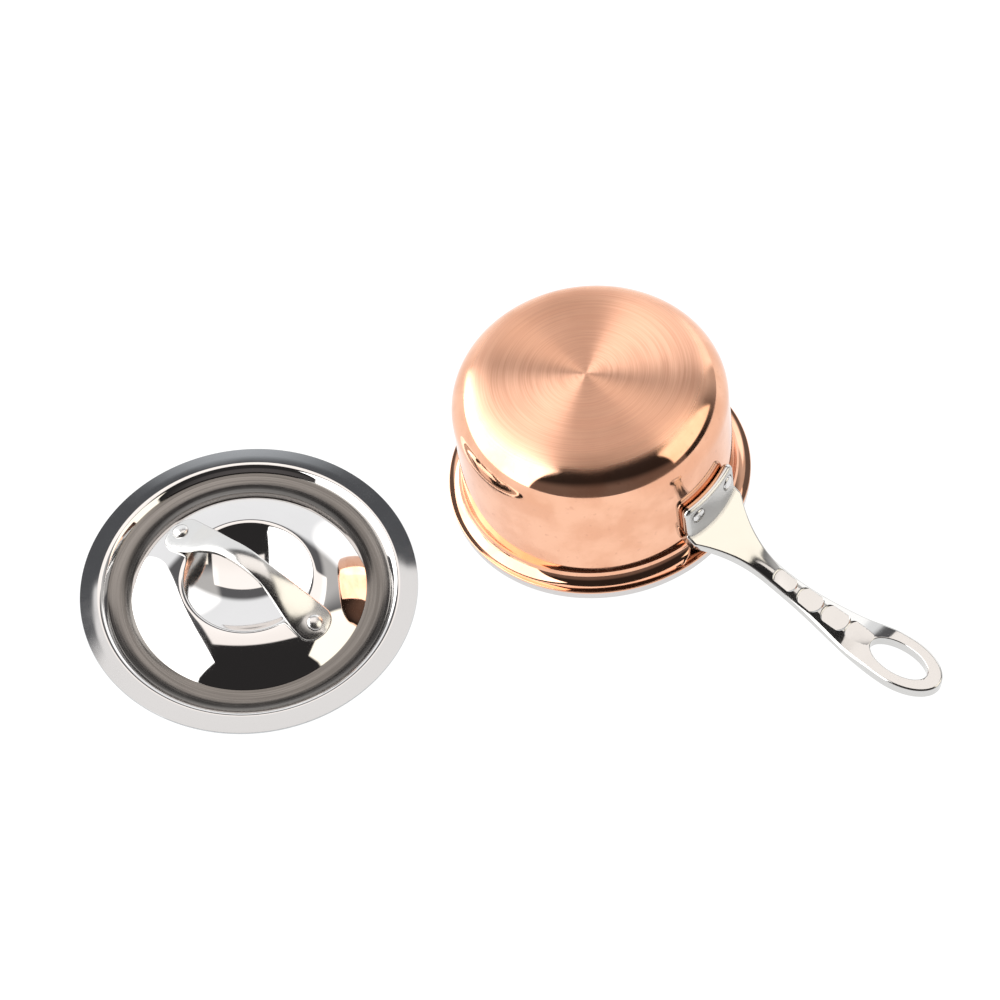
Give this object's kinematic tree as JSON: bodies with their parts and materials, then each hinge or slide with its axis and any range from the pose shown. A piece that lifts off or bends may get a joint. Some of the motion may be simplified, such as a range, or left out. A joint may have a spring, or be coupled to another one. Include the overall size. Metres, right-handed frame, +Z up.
{
  "type": "saucepan",
  "caption": "Small copper saucepan with a steel lining and a riveted cast handle, standing upside down beside its domed steel lid with a strap handle.",
  "frame": {"origin": "On the table, under the middle of the bounding box of the pan and lid as they stand.", "axes": "+Z is up from the table. +X is the longest extent, from the lid towards the pan's handle. +Y is away from the viewer."},
  "size_m": [0.3264, 0.1656, 0.0731],
  "materials": {
    "copper": "polished copper, brushed in rings on the base",
    "core": "plain",
    "lining": "satin inside, polished at the hem",
    "cast_steel": "polished",
    "lid_steel": "mirror polished, satin in the gutter",
    "rivets": "polished"
  },
  "bodies": {
    "pan": {"copper_shell": "copper", "aluminium_core": "core", "steel_lining": "lining", "pan_handle": "cast_steel", "handle_rivet_left": "rivets", "handle_rivet_right": "rivets"},
    "lid": {"lid": "lid_steel", "lid_strap": "cast_steel", "lid_rivet_left": "rivets", "lid_rivet_right": "rivets"}
  },
  "joints": [
    {"name": "lid_lift", "type": "slide", "parent": "pan", "child": "lid", "axis": [0, 0, 1], "range_m": [0, 0.12]}
  ]
}
